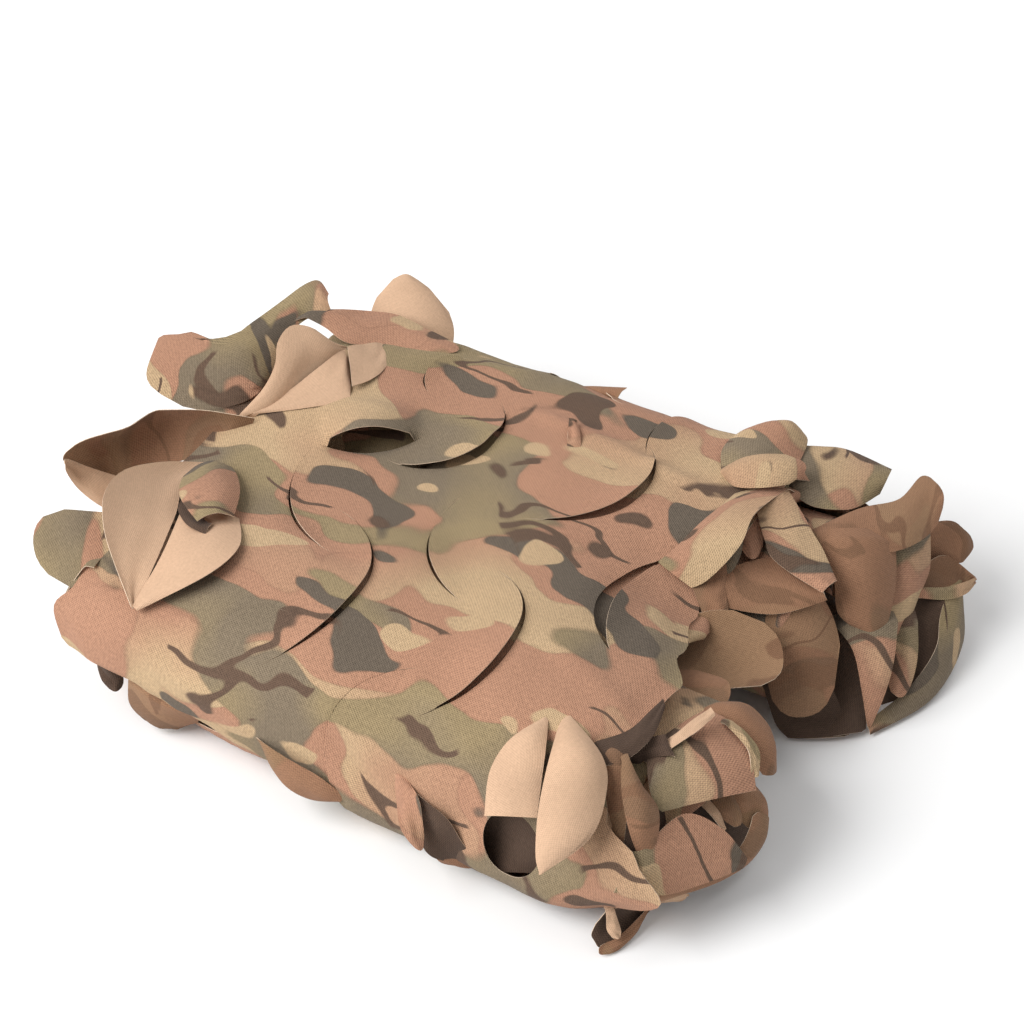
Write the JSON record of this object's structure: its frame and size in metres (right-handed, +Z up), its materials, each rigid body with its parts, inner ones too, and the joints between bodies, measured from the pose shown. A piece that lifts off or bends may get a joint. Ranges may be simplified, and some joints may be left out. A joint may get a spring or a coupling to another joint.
{
  "type": "folded camouflage netting",
  "caption": "Leaf-cut camouflage netting, rolled in from both ends and folded into a flat bundle for storage.",
  "frame": {"origin": "middle of the bundle's footprint, on the surface it lies on", "axes": "+X along the two rolls, the bundle's longest extent; +Y across them, from the front roll to the back roll; +Z up"},
  "size_m": [0.6086, 0.4878, 0.1483],
  "materials": {
    "camouflage_cloth": "matt"
  },
  "bodies": {
    "root": {"netting": "camouflage_cloth"}
  },
  "joints": []
}
